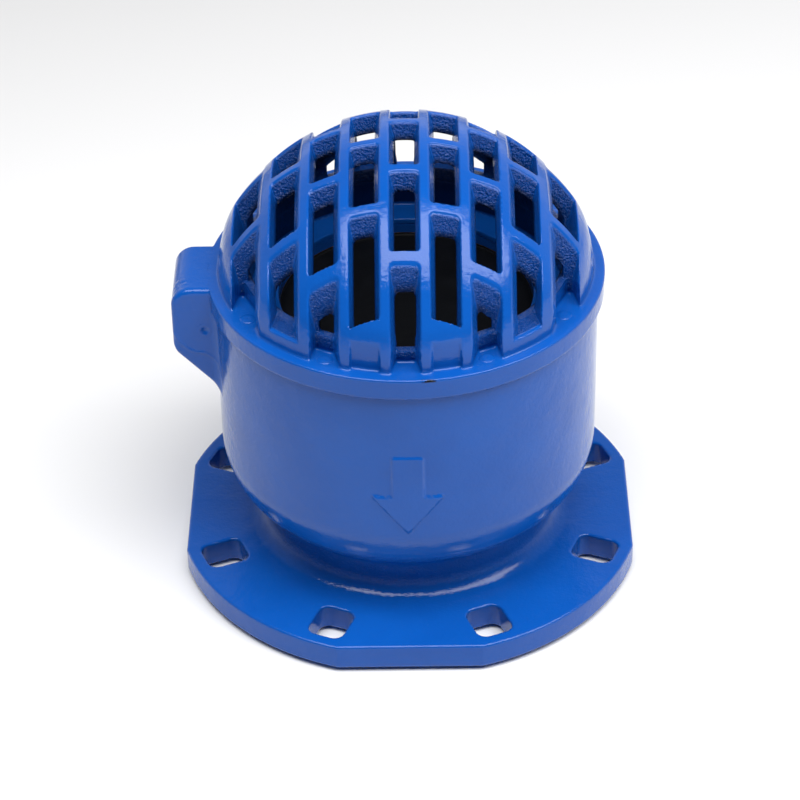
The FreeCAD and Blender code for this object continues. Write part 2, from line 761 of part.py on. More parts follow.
def make_hinge_arm():
    """Cranked arm from the hinge hub to the eye under the flap's middle."""
    body = new_body("hinge_arm")
    half = "ArmThick / 2"
    middle = "ArmTop - ArmThick / 2"
    run = "(PinX - ArmBendX)"
    drop = "(PinLevel - ArmTop + ArmThick / 2)"
    length = f"sqrt({run}^2 + {drop}^2)"
    side_x = f"({half} * {drop} / {length})"
    side_z = f"({half} * {run} / {length})"
    crank = new_sketch(body, "XZ_Plane", "ArmOutline")
    outline(crank, [
        (f"-PinX + {side_x}", f"PinLevel + {side_z}"),
        (f"-PinX - {side_x}", f"PinLevel - {side_z}"),
        (f"-ArmBendX - {half} * ({length} - {run}) / {drop}", "ArmBase"),
        ("0", "ArmBase"),
        ("0", "ArmTop"),
        (f"-ArmBendX + {half} * ({length} - {run}) / {drop}", "ArmTop"),
    ])
    pad(body, "ArmBar", crank, "ArmWidth", centred=True)

    for sign, word in ((1, "Front"), (-1, "Rear")):
        relief = new_sketch(body, "XY_Plane", "ArmRelief" + word, "PinLevel + HubRadius")
        outline(relief, [
            ("-PinX - 2 * HubRadius", f"{-sign} * ArmNeckWidth / 2"),
            ("-PinX + ArmNeckReach", f"{-sign} * ArmNeckWidth / 2"),
            ("-PinX + ArmNeckReach", f"{-sign} * ArmWidth"),
            ("-PinX - 2 * HubRadius", f"{-sign} * ArmWidth"),
        ])
        pocket(body, "ArmNeck" + word, relief, "4 * HubRadius")

    hub = new_sketch(body, "XZ_Plane", "HubCircle")
    circle(hub, "HubRadius", "-PinX", "PinLevel")
    pad(body, "Hub", hub, "HubWidth", centred=True)
    hub_bore = new_sketch(body, "XZ_Plane", "HubBoreCircle")
    circle(hub_bore, "BushRadius", "-PinX", "PinLevel")
    pocket(body, "HubBore", hub_bore, "2 * HubWidth", centred=True)

    eye = new_sketch(body, "XY_Plane", "EyeCircle", "ArmBase")
    circle(eye, "EyeRadius")
    pad(body, "Eye", eye, "ArmThick")
    eye_bore = new_sketch(body, "XY_Plane", "EyeBoreCircle", "ArmTop")
    circle(eye_bore, "StemRadius + EyeClearance")
    pocket(body, "EyeBore", eye_bore, "ArmThick")
    return body


def make_flap_washer():
    outer = plain("WasherOuter", "Part::Cylinder", Radius="WasherRadius", Height="WasherThick")
    inner = plain("WasherInner", "Part::Cylinder", Radius="StemRadius + EyeClearance",
                  Height="WasherThick")
    washer = less("flap_washer", outer, inner)
    bind(washer, **{"Placement.Base.z": "NutTop"})
    return washer


def make_flap_nut():
    """Hexagon nut on the stem."""
    hexagon = plain("NutHexagon", "Part::Prism", Circumradius="NutAcrossFlats / sqrt(3)",
                    Height="NutHeight")
    hexagon.Polygon = 6
    inner = plain("NutThread", "Part::Cylinder", Radius="StemRadius", Height="NutHeight")
    nut = less("flap_nut", hexagon, inner)
    bind(nut, **{"Placement.Base.z": "NutBase"})
    return nut


def make_split_pin():
    """Split pin through the stem below the nut, with its round eye."""
    leg = plain("SplitPinLeg", "Part::Cylinder", Radius="SplitPinRadius", Height="SplitPinLength")
    along_y(leg, "-SplitPinLength / 2", "0", "NutBase - SplitPinDrop")
    eye = plain("SplitPinEye", "Part::Torus", Radius1="SplitPinRadius * 1.6", Radius2="SplitPinRadius * 0.8")
    eye.Placement = FreeCAD.Placement(
        FreeCAD.Vector(), FreeCAD.Rotation(FreeCAD.Vector(0, 1, 0), 90))
    bind(eye, **{
        "Placement.Base.y": "-SplitPinLength / 2 - SplitPinRadius * 1.6",
        "Placement.Base.z": "NutBase - SplitPinDrop",
    })
    return joined("split_pin", [leg, eye])


# ---------------------------------------------------------------- hinge pin and its pieces


def ring_on_pin(label, outer, inner, length, start):
    """A plain ring threaded on the hinge pin."""
    solid = plain(label + "_outer", "Part::Cylinder", Radius=outer, Height=length)
    hole = plain(label + "_inner", "Part::Cylinder", Radius=inner, Height=length)
    return along_y(less(label, solid, hole), start)


def make_hinge_pin():
    return along_y(plain("hinge_pin", "Part::Cylinder", Radius="PinRadius",
                         Height="EarWidth - PinEndCover - PlugLength"), "PlugLength - EarWidth / 2")


def make_pin_plug():
    """Short plug that closes the pin's bore, flush with the housing."""
    return along_y(plain("pin_plug", "Part::Cylinder", Radius="PinRadius", Height="PlugLength"),
                   "-EarWidth / 2")


def make_spring(label, side):
    """Torsion spring beside the hub: one leg bears on the housing's roof, the other lifts the arm."""
    helix = plain(label + "_helix", "Part::Helix", Pitch="SpringPitch", Height="SpringLength",
                  Radius="SpringRadius")
    helix.LocalCoord = 0 if side > 0 else 1
    wire = plain(label + "_wire", "Part::Circle", Radius="SpringWireRadius")
    wire.Placement = FreeCAD.Placement(
        FreeCAD.Vector(), FreeCAD.Rotation(FreeCAD.Vector(1, 0, 0), 90))
    bind(wire, **{"Placement.Base.x": "SpringRadius"})
    doc.recompute()
    coil = doc.addObject("Part::Sweep", label + "_coil")
    coil.Sections = [wire]
    coil.Spine = (helix, ["Edge1"])
    coil.Solid = True
    coil.Frenet = True
    lay = FreeCAD.Rotation(FreeCAD.Vector(1, 0, 0), -90 if side > 0 else 90)
    turn = FreeCAD.Rotation(FreeCAD.Vector(0, 1, 0), 180)
    coil.Placement = FreeCAD.Placement(FreeCAD.Vector(), turn.multiply(lay))
    bind(coil, **{
        "Placement.Base.x": "-PinX",
        "Placement.Base.y": f"{side} * SpringStart",
        "Placement.Base.z": "PinLevel",
    })
    fixed = plain(label + "_fixed_leg", "Part::Cylinder", Radius="SpringWireRadius",
                  Height="HubRadius + HubClearance - SpringLegGap")
    bind(fixed, **{
        "Placement.Base.x": "-PinX - SpringRadius",
        "Placement.Base.y": f"{side} * (SpringStart + SpringLength)",
        "Placement.Base.z": "PinLevel",
    })
    slope = "atan((PinLevel - ArmTop + ArmThick / 2) / (PinX - ArmBendX))"
    leg = plain(label + "_arm_leg", "Part::Cylinder", Radius="SpringWireRadius", Height="SpringArmLeg")
    leg.Placement = FreeCAD.Placement(
        FreeCAD.Vector(), FreeCAD.Rotation(FreeCAD.Vector(0, 1, 0), 90))
    leg.setExpression("Placement.Rotation.Angle", linked("90 deg + " + slope))
    bind(leg, **{
        "Placement.Base.x": f"-PinX - SpringRadius * sin({slope})",
        "Placement.Base.y": f"{side} * SpringStart",
        "Placement.Base.z": f"PinLevel - SpringRadius * cos({slope})",
    })
    return joined(label, [coil, fixed, leg])


# ---------------------------------------------------------------- build and write

parts = [
    make_valve_body(),
    make_strainer_cage(),
    make_strainer_screws(),
    make_body_gasket(),
    make_seat_ring(),
    make_flap_core(),
    make_flap_rubber(),
    make_hinge_arm(),
    make_flap_washer(),
    make_flap_nut(),
    make_split_pin(),
    make_hinge_pin(),
    make_pin_plug(),
]

bush_length = "(HubWidth - BushGap) / 2"
bush_bore = "PinRadius + PinClearance"
parts.append(ring_on_pin("hinge_bush_front", "BushRadius", bush_bore, bush_length, "-HubWidth / 2"))
parts.append(ring_on_pin("hinge_bush_rear", "BushRadius", bush_bore, bush_length, "BushGap / 2"))
parts.append(ring_on_pin("thrust_washer_front", "ThrustRadius", bush_bore, "ThrustThick",
                         "-(ThrustFace + ThrustThick)"))
parts.append(ring_on_pin("thrust_washer_rear", "ThrustRadius", bush_bore, "ThrustThick", "ThrustFace"))
parts.append(make_spring("closing_spring_front", -1))
parts.append(make_spring("closing_spring_rear", 1))
doc.recompute()

for item in doc.Objects:
    for word in ("Invalid", "Error"):
        if word in item.State:
            raise RuntimeError(f"{item.Label} is {item.State}")
for part in parts:
    if part.Shape.isNull() or not part.Shape.isValid() or not part.Shape.Solids:
        raise RuntimeError(f"{part.Label} has no valid solid")

os.makedirs("parts", exist_ok=True)
for part in parts:
    part.Shape.exportStep(f"parts/{part.Label}.step")
    box = part.Shape.BoundBox
    print(part.Label, len(part.Shape.Solids), round(part.Shape.Volume), "z", round(box.ZMin, 1),
          round(box.ZMax, 1), "x", round(box.XMin, 1), round(box.XMax, 1),
          "y", round(box.YMin, 1), round(box.YMax, 1))
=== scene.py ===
import math

import bmesh
import bpy
import numpy as np
import openvdb
from mathutils import Matrix, Vector


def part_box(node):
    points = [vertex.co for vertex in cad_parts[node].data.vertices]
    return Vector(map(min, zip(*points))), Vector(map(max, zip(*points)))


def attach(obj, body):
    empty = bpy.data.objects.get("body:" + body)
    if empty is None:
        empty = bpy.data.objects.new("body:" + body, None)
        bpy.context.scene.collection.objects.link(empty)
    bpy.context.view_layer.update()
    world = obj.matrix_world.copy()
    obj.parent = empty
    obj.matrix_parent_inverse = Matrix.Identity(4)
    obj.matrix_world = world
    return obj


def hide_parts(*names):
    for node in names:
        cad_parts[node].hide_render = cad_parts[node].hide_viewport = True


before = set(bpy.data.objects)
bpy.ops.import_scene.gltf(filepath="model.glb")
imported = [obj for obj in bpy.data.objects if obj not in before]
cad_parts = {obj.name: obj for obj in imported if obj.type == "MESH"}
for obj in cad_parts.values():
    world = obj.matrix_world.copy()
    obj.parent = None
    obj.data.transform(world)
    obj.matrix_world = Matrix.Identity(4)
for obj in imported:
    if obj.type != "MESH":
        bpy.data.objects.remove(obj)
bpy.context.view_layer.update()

MM = 0.001

# ------------------------------------------------------------------ sizes in mm, some from the frame


def extent(node):
    """A node's lowest and highest corner, in mm."""
    low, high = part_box(node)
    return [v / MM for v in low], [v / MM for v in high]


body_low, body_high = extent("valve_body")
cage_low, cage_high = extent("strainer_cage")
gasket_low, gasket_high = extent("body_gasket")
seat_low, seat_high = extent("seat_ring")
pin_low, pin_high = extent("hinge_pin")
plug_low, plug_high = extent("pin_plug")

FLANGE_RADIUS = 142.5
FLANGE_FLAT = body_high[0]
FACE_RAISE = 3.0
FACE_RADIUS = 105.5
PLATE_TOP = 19.0
BORE_RADIUS = 75.0
BOLT_CIRCLE = 120.0
SLOT_HALF = 11.0
SLOT_TRAVEL = 3.5
SLOT_CORNER = 6.0
NECK_RADIUS = 87.0
NECK_FILLET = 12.0
BODY_RADIUS = 113.0
BODY_WALL = 8.5
BOWL_TOP = 85.0
BOWL_RADIUS = 45.33
BODY_TOP = gasket_low[2]
RIM_DEPTH = 17.0
RIM_SLOPE = 6.0
RING_BASE = gasket_high[2]
RING_TOP = body_high[2]
RING_RADIUS = cage_high[0]
SPIGOT_RADIUS = 98.0
SPIGOT_BASE = cage_low[2]
SEAT_FLOOR_TOP = SPIGOT_BASE + 7.0
SEAT_OUTER = seat_high[0]
SILL_THICK = 6.0
SILL_TOP = RING_TOP + 10.2
SILL_DIP = 3.2
FOOT_RADIUS = 110.0
DOME_RADIUS = 120.2
DOME_APEX = 282.5
DOME_CENTRE = DOME_APEX - DOME_RADIUS
DOME_INNER_RADIUS = 108.2
FOOT_INNER = 95.0
RIB_PITCH = 22.55
RIB_PAIRS = 5
RIB_HALF = 2.65
RIB_DRAFT = 3.5
BAR_PITCH = 51.5
BAR_DRAFT = 3.0
DRAFT_DEPTH = 13.0
FRONT_WALL = 99.5
REAR_WALL = 104.0
PANEL_SUNK = 2.8
PANEL_TOP = RING_TOP + 20.0
CURB_TOP = RING_TOP + 8.7
SCREW_CIRCLE = 105.0
SCREW_HOLE = 3.3
SCREW_COLUMNS = (2, 4)
EAR_REACH = -body_low[0]
EAR_HALF = 24.5
EAR_FOOT_Z = (plug_low[2] + plug_high[2]) / 2 - 40.0
EAR_SLOPE = 26.0
EAR_ROUND = 12.0
NEST_LAP = 1.0
PIN_X = (pin_low[0] + pin_high[0]) / 2
PIN_Z = (pin_low[2] + pin_high[2]) / 2
PIN_RADIUS = (pin_high[2] - pin_low[2]) / 2

# roundings and fillets
CREASE = 0.05
FINE_EDGE = 0.2
INNER_ROUND = 1.0
PLATE_ROUND = 1.6
FACE_ROUND = 0.4
FACE_FILLET = 0.3
BARREL_ROUND = 0.8
BOWL_FILLET = 4.0
BORE_FILLET = 2.0
BORE_ROUND = 0.8
SLOT_ROUND = 1.2
EAR_FILLET = 5.0
EAR_EDGE = 3.0
EAR_INNER_EDGE = 0.5
WINDOW_FILLET = 2.4
PANEL_ROUND = 3.0
FOOT_ROUND = 6.0
RIB_ROUND = 0.75
RIB_INNER_ROUND = 0.9
RING_ROUND = 1.2
RING_FILLET = 1.6

# how far shapes reach into, past or clear of each other
CUTTER_PAST = 9.0
THROAT_PAST = 20.0
FACE_LAP = 4.0
NECK_LAP = 6.0
DOME_LAP = 2.0
SILL_PAST = 1.0
SPIGOT_GAP = 0.4
EAR_WALL = 6.0
EAR_ROOF = 4.0
SCREW_BORE_DEPTH = 12.0
SCREW_HEAD_DEPTH = 2.0
PIN_BORE_STOP = 2.0
MOUTH_BELOW_PIN = 47.0
MOUTH_OUTER = -108.0
MOUTH_INNER = -92.0
MOUTH_SIDE = 6.5
SAFE_SQUARE = 100.0
FAR = 50.0

# meshing
BODY_STEP = 1.4
CAGE_STEP = 1.15
MARGIN_STEPS = 2
BAND_STEPS = 3
FIT_ROUNDS = 3
FIT_SHARE = 0.4
SLOPE_FLOOR = 0.05
TINY = 1e-9
MERGE = 1e-7

# ------------------------------------------------------------------ solids as distance fields


def meet(a, b, radius):
    """What both shapes share, its edge rounded to a radius."""
    bend = np.hypot(np.maximum(radius + a, 0), np.maximum(radius + b, 0))
    return np.minimum(-radius, np.maximum(a, b)) + bend


def join(a, b, radius):
    """Both shapes together, with a fillet of a radius between them."""
    bend = np.hypot(np.maximum(radius - a, 0), np.maximum(radius - b, 0))
    return np.maximum(radius, np.minimum(a, b)) - bend


def cut(a, b, radius):
    """The first shape less the second."""
    return meet(a, -b, radius)


def between(value, low, high):
    """A slab from low to high along one axis."""
    return np.maximum(low - value, value - high)


def eased(share):
    """A share from 0 to 1, eased at both ends."""
    return share * share * (3 - 2 * share)


def mesh_from_field(name, field, low, high, step, material):
    """A quad mesh of where a distance field is zero. Each vertex is moved onto the true surface,
    and its normal is the field's own, so curved faces are smooth."""
    spare = 2 * MARGIN_STEPS + 1
    counts = [int(math.ceil((b - a) / step)) + spare for a, b in zip(low, high)]
    start = [a - MARGIN_STEPS * step for a in low]
    lines = [np.float32(start[i]) + np.arange(counts[i], dtype=np.float32) * np.float32(step)
             for i in range(3)]
    values = np.empty(counts, dtype=np.float32)
    for i, x in enumerate(lines[0]):
        values[i] = field(x, lines[1][:, None], lines[2][None, :])
    band = BAND_STEPS * step
    grid = openvdb.FloatGrid(band)
    grid.copyFromArray(np.clip(values, -band, band))
    points, quads = grid.convertToQuads(isovalue=0.0)
    points = points.astype(np.float64) * step + np.array(start)
    for _ in range(FIT_ROUNDS):
        value, slope = slope_at(field, points)
        shift = slope * (value / np.maximum((slope ** 2).sum(1), SLOPE_FLOOR))[:, None]
        length = np.linalg.norm(shift, axis=1, keepdims=True)
        points -= shift * np.minimum(1.0, FIT_SHARE * step / np.maximum(length, TINY))
    normals = slope_at(field, points)[1]
    normals /= np.maximum(np.linalg.norm(normals, axis=1, keepdims=True), TINY)
    corner = points[quads]
    face_normals = np.cross(corner[:, 2] - corner[:, 0], corner[:, 3] - corner[:, 1])
    if (face_normals * normals[quads].mean(1)).sum() < 0:
        quads = quads[:, ::-1]
    mesh = bpy.data.meshes.new(name)
    mesh.from_pydata((points * MM).tolist(), [], quads.tolist())
    mesh.validate()
    mesh.shade_smooth()
    if len(mesh.vertices) == len(normals):
        mesh.normals_split_custom_set_from_vertices(normals.tolist())
    return finish_piece(name, mesh, material)


def slope_at(field, points):
    """The field's value and slope at some points."""
    reach = 0.05
    x, y, z = points.T
    value = field(x, y, z)
    slope = np.stack([
        field(x + reach, y, z) - field(x - reach, y, z),
        field(x, y + reach, z) - field(x, y - reach, z),
        field(x, y, z + reach) - field(x, y, z - reach),
    ], axis=1) / (2 * reach)
    return value, slope


def finish_piece(name, mesh, material):
    """A mesh's object in the scene, with one material."""
    piece = bpy.data.objects.new(name, mesh)
    bpy.context.scene.collection.objects.link(piece)
    mesh.materials.clear()
    mesh.materials.append(material)
    return piece


def slots_field(x, y):
    """The eight radial bolt slots, as one distance in plan."""
    radius = np.hypot(x, y)
    sector = math.pi / 4
    angle = np.mod(np.arctan2(y, x), sector) - sector / 2
    out, side = radius * np.cos(angle), radius * np.sin(angle)
    middle = BOLT_CIRCLE + SLOT_TRAVEL / 2
    off = np.abs(out - middle) - (SLOT_HALF + SLOT_TRAVEL / 2 - SLOT_CORNER)
    over = np.abs(side) - (SLOT_HALF - SLOT_CORNER)
    round_part = np.hypot(np.maximum(off, 0), np.maximum(over, 0))
    return round_part + np.minimum(np.maximum(off, over), 0) - SLOT_CORNER


ARROW_HALF = 9.0
ARROW_HEAD_HALF = 21.0
ARROW_MIDDLE = 112.0
ARROW_TAIL = 28.0
ARROW_TIP = -26.0
ARROW_NECK = 0.0
ARROW_RISE = 1.1
ARROW_ROUND = 1.0
ARROW_LAP = 1.0
ARROW_EDGE = 1.6


def arrow_field(x, y, z):
    """A plain flow arrow on the barrel's front, pointing to the flange, as a distance along the skin."""
    across = np.abs(BODY_RADIUS * np.arctan2(x, -y))
    up = z - ARROW_MIDDLE
    length = between(up, ARROW_NECK - ARROW_LAP, ARROW_TAIL)
    shaft = meet(across - ARROW_HALF, length, ARROW_ROUND)
    slope = ARROW_HEAD_HALF / (ARROW_NECK - ARROW_TIP)
    edge = (across - (up - ARROW_TIP) * slope) / math.hypot(1.0, slope)
    head = meet(edge, up - ARROW_NECK, ARROW_ROUND)
    return join(shaft, head, ARROW_ROUND)


def screw_spots():
    """The places of the cage screws in one quarter of their circle."""
    spots = []
    for column in SCREW_COLUMNS:
        across = column * RIB_PITCH
        spots.append((across, math.sqrt(SCREW_CIRCLE ** 2 - across ** 2)))
    return spots


def screw_holes(x, y):
    """The cage screws' holes, as one distance in plan."""
    holes = [np.hypot(np.abs(x) - across, np.abs(y) - along) - SCREW_HOLE
             for across, along in screw_spots()]
    return np.minimum.reduce(holes)


PARTING_X = -122.0
PARTING_Z = 152.8
PARTING_BEND = 0.063
PARTING_HALF = 0.8
PARTING_RISE = 0.5


def parting_rise(x, y, z):
    """How far the mould's wandering parting line stands out on the housing's front."""
    along = x - PARTING_X
    off = z - PARTING_Z + PARTING_BEND * along * np.abs(along)
    off = np.abs(off) / np.hypot(1.0, 2 * PARTING_BEND * along)
    share = eased(np.clip(1.0 - off / (2 * PARTING_HALF), 0, 1))
    return np.where(y < 0, share * PARTING_RISE, 0)


WRINKLE_RISE = 0.45
WRINKLE_Y = -15.0
WRINKLE_BELOW_RING = 2.0
WRINKLE_SQUASH = 0.8
WRINKLE_REACH = 9.0
WRINKLE_INWARD = 12.0
WRINKLE_FADE = 6.0
WRINKLE_RATE = 1.25
WRINKLE_SWAY = 0.9
WRINKLE_SWAY_RATE = 0.6


def shoulder_wrinkles(x, y, z):
    """Cold laps in the casting where the housing's outer shoulder meets its front."""
    above = (z - RING_TOP + WRINKLE_BELOW_RING) * WRINKLE_SQUASH
    near = np.clip(1 - np.hypot(y - WRINKLE_Y, above) / WRINKLE_REACH, 0, 1)
    outer = np.clip((-x - EAR_REACH + WRINKLE_INWARD) / WRINKLE_FADE, 0, 1)
    sway = WRINKLE_SWAY * np.sin(WRINKLE_SWAY_RATE * (z + x))
    return WRINKLE_RISE * near * outer * np.sin(WRINKLE_RATE * y + sway)


def ear_field(x, y, z, wall):
    """The hinge housing's block, or with a wall its outline pulled in by that much."""
    slope_x = EAR_REACH - BODY_RADIUS
    length = math.hypot(slope_x, EAR_SLOPE)
    foot = (-(x + BODY_RADIUS) * EAR_SLOPE - (z - EAR_FOOT_Z) * slope_x) / length
    outline = meet(-EAR_REACH - x, z - RING_TOP, EAR_ROUND)
    outline = meet(outline, foot, EAR_EDGE)
    outline = meet(outline, x + BODY_RADIUS - BODY_WALL / 2, EAR_INNER_EDGE)
    side = np.abs(y) - EAR_HALF + wall
    if wall == 0:
        side = side - parting_rise(x, y, z)
        outline = outline + np.maximum(shoulder_wrinkles(x, y, z), 0)
    return meet(outline + wall, side, EAR_EDGE)


def body_field(x, y, z):
    """Flange, neck, bowl, barrel and hinge housing of the cast body."""
    radius = np.hypot(x, y)
    rim = np.maximum(np.maximum(np.abs(x), np.abs(y)) - FLANGE_FLAT, radius - FLANGE_RADIUS)
    plate = meet(rim, between(z, FACE_RAISE, PLATE_TOP), PLATE_ROUND)
    face = meet(radius - FACE_RADIUS, between(z, 0.0, PLATE_TOP - FACE_LAP), FACE_ROUND)
    plate = join(plate, face, FACE_FILLET)
    neck = np.maximum(radius - NECK_RADIUS, between(z, PLATE_TOP - NECK_LAP, BOWL_TOP))
    solid = join(plate, neck, NECK_FILLET)
    bowl_centre = BODY_RADIUS - BOWL_RADIUS
    out = np.maximum(radius - bowl_centre, 0)
    down = np.maximum(BOWL_TOP - z, 0)
    bulge = np.hypot(out, down)
    raised = eased(np.clip(0.5 - arrow_field(x, y, z) / ARROW_EDGE, 0, 1)) * ARROW_RISE
    skin = bulge - BOWL_RADIUS - np.where(y < 0, raised, 0)
    solid = join(solid, meet(skin, z - BODY_TOP, BARREL_ROUND), BOWL_FILLET)
    ear = ear_field(x, y, z, 0.0)
    nest = np.maximum(radius - RING_RADIUS + NEST_LAP, BODY_TOP - z)
    solid = cut(join(solid, ear, EAR_FILLET), nest, CREASE)
    chamber_top = BODY_TOP - RIM_DEPTH - RIM_SLOPE / 2
    chamber = np.maximum(bulge - (BOWL_RADIUS - BODY_WALL), z - chamber_top)
    throat = between(z, BOWL_TOP, BODY_TOP + THROAT_PAST)
    throat = np.maximum(radius - SPIGOT_RADIUS - SPIGOT_GAP, throat)
    hollow = join(chamber, throat, INNER_ROUND)
    hollow = join(hollow, np.maximum(radius - BORE_RADIUS, z - BOWL_TOP), BORE_FILLET)
    pocket = np.maximum(ear_field(x, y, z, EAR_WALL), z - (BODY_TOP - EAR_ROOF))
    pocket = join(pocket, mouth_field(x, y, z), INNER_ROUND)
    solid = cut(solid, hollow, INNER_ROUND)
    solid = cut(solid, pocket, INNER_ROUND)
    slots = np.maximum(slots_field(x, y), between(z, -CUTTER_PAST, PLATE_TOP + CUTTER_PAST))
    solid = cut(solid, slots, SLOT_ROUND)
    bores = between(z, BODY_TOP - SCREW_BORE_DEPTH, BODY_TOP + CUTTER_PAST)
    solid = cut(solid, np.maximum(screw_holes(x, y), bores), FINE_EDGE)
    return cut(solid, pin_bore_field(x, y, z), CREASE)


def mouth_field(x, y, z):
    """The opening between the hinge pocket and the chamber, where the arm swings."""
    tall = between(z, PIN_Z - MOUTH_BELOW_PIN, BODY_TOP - EAR_ROOF)
    deep = between(x, MOUTH_OUTER, MOUTH_INNER)
    return np.maximum(np.maximum(deep, tall), np.abs(y) - EAR_HALF + MOUTH_SIDE)


def pin_bore_field(x, y, z):
    """The pin's bore, opening at the housing's front face round its plug."""
    bore = np.hypot(x - PIN_X, z - PIN_Z) - PIN_RADIUS
    return np.maximum(bore, y - EAR_HALF + PIN_BORE_STOP)


DRAFT_ABOVE = -0.3
DRAFT_LEAN = 0.97


def draft_half(depth, draft):
    """How much a drafted wall has thickened at a depth below the dome."""
    return draft * np.clip(depth / DRAFT_DEPTH, DRAFT_ABOVE, 1.0)


ODD_BARS = 1.0
EVEN_BARS = 1.5
SUNK_CURB_COLUMNS = 2
EAR_SHARE = 0.9
SILL_DIP_RUN = 1.5
SILL_DIP_RUNS = 7.5


def cage_field(x, y, z):
    """The strainer: drafted ribs and bars in the dome's wall, on a ring with a sill and a spigot."""
    height = z - DOME_CENTRE
    radius = np.hypot(x, y)
    rib = np.clip(np.floor(x / RIB_PITCH), -RIB_PAIRS, RIB_PAIRS - 1) + 0.5
    rib_x = rib * RIB_PITCH
    reach = np.sqrt(np.maximum(DOME_RADIUS ** 2 - rib_x ** 2, SAFE_SQUARE))
    foot_reach = np.sqrt(np.maximum(FOOT_RADIUS ** 2 - rib_x ** 2, SAFE_SQUARE))
    depth = np.minimum(reach - np.hypot(y, height), foot_reach - np.abs(y))
    half = RIB_HALF + draft_half(depth, RIB_DRAFT)
    ribs = (np.abs(x - rib_x) - half) * DRAFT_LEAN

    column = np.round(x / RIB_PITCH)
    odd = np.mod(np.abs(column), 2) > 0.5
    shift = np.where(odd, 0.0, 0.5)
    most = np.where(odd, ODD_BARS, EVEN_BARS)
    step = np.clip(np.round(y / BAR_PITCH - shift) + shift, -most, most)
    bar_y = step * BAR_PITCH
    reach = np.sqrt(np.maximum(DOME_RADIUS ** 2 - bar_y ** 2, SAFE_SQUARE))
    half = RIB_HALF + draft_half(reach - np.hypot(x, height), BAR_DRAFT)
    bars = (np.abs(y - bar_y) - half) * DRAFT_LEAN
    sunk = meet(FOOT_RADIUS - PANEL_SUNK - radius, z - PANEL_TOP, PANEL_ROUND)
    sunk = np.where(y < 0, sunk, FAR)
    wall = meet(np.where(y < 0, FRONT_WALL, REAR_WALL) - np.abs(y), -sunk, INNER_ROUND)
    curb = z - CURB_TOP
    curb = np.where(np.abs(column) < SUNK_CURB_COLUMNS, np.maximum(curb, -sunk), curb)
    closed = np.where(odd, np.minimum(wall, curb), FAR)
    lattice = join(join(ribs, bars, WINDOW_FILLET), closed, INNER_ROUND)

    from_centre = np.sqrt(x * x + y * y + height * height)
    outer = meet(from_centre - DOME_RADIUS, radius - FOOT_RADIUS, FOOT_ROUND)
    hollow = np.maximum(from_centre - DOME_INNER_RADIUS, radius - FOOT_INNER)
    dome = cut(meet(lattice, outer, RIB_ROUND), hollow, RIB_INNER_ROUND)
    dome = np.maximum(dome, RING_TOP - DOME_LAP - z)

    beside_ear = (x < -BODY_RADIUS * EAR_SHARE) & (np.abs(y) < EAR_HALF)
    ring_round = np.where(beside_ear, CREASE, RING_ROUND)
    ring = meet(radius - RING_RADIUS, between(z, RING_BASE, RING_TOP), ring_round)
    sill_top = SILL_TOP - SILL_DIP * np.clip(SILL_DIP_RUNS - np.abs(x) / SILL_DIP_RUN, 0, 1)
    spigot = meet(radius - SPIGOT_RADIUS, between(z, SPIGOT_BASE, sill_top), INNER_ROUND)
    whole = join(join(ring, spigot, RING_FILLET), dome, RING_FILLET)
    inside = np.maximum(radius - (SPIGOT_RADIUS - SILL_THICK), SEAT_FLOOR_TOP - z)
    whole = cut(whole, np.maximum(inside, z - (SILL_TOP + SILL_PAST)), INNER_ROUND)
    whole = cut(whole, radius - BORE_RADIUS + np.maximum(z - RING_BASE, 0), BORE_ROUND)
    holes = np.maximum(screw_holes(x, y), z - (RING_TOP - SCREW_HEAD_DEPTH))
    recess = np.maximum(radius - SEAT_OUTER, z - seat_high[2])
    return cut(whole, np.minimum(recess, holes), FINE_EDGE)


# ------------------------------------------------------------------ turned pieces

CORNER_SHARE = 0.45


def rounded(corners, radius, steps=4):
    """An outline with each corner replaced by a short curve."""
    made = []
    count = len(corners)
    for i in range(count):
        here = Vector(corners[i])
        before = Vector(corners[i - 1]) - here
        after = Vector(corners[(i + 1) % count]) - here
        reach = min(radius, before.length * CORNER_SHARE, after.length * CORNER_SHARE)
        first = here + before.normalized() * reach
        last = here + after.normalized() * reach
        for k in range(steps + 1):
            t = k / steps
            made.append(first * (1 - t) ** 2 + here * 2 * t * (1 - t) + last * t * t)
    return made


def turned(name, corners, radius, material, places=(Matrix(),), segments=128):
    """A closed outline in (radius, height), in mm, turned about the Z axis of each placement."""
    outline = rounded(corners, radius)
    count = len(outline)
    points = []
    faces = []
    for place in places:
        base = len(points)
        for s in range(segments):
            turn = Matrix.Rotation(2 * math.pi * s / segments, 4, "Z")
            points.extend(place @ turn @ Vector((spot.x, 0, spot.y)) * MM for spot in outline)
        for s in range(segments):
            here, after = base + s * count, base + (s + 1) % segments * count
            for k in range(count):
                ahead = (k + 1) % count
                faces.append((here + k, after + k, after + ahead, here + ahead))
    mesh = bpy.data.meshes.new(name)
    mesh.from_pydata(points, [], faces)
    merge_close(mesh)
    shade(mesh)
    return finish_piece(name, mesh, material)


def merge_close(mesh):
    """Join vertices that meet, as on a turned solid's axis, and turn the faces outwards."""
    work = bmesh.new()
    work.from_mesh(mesh)
    bmesh.ops.remove_doubles(work, verts=work.verts, dist=MERGE)
    bmesh.ops.dissolve_degenerate(work, edges=work.edges, dist=MERGE)
    bmesh.ops.recalc_face_normals(work, faces=work.faces)
    work.to_mesh(mesh)
    work.free()


def shade(mesh, degrees=40):
    """Smooth faces with sharp edges where they meet at more than an angle."""
    mesh.shade_smooth()
    mesh.set_sharp_from_angle(angle=math.radians(degrees))


def along_y(x, y, z):
    """A placement whose own Z axis lies along +Y."""
    return Matrix.Translation((x, y, z)) @ Matrix.Rotation(math.radians(-90), 4, "X")


# ------------------------------------------------------------------ materials


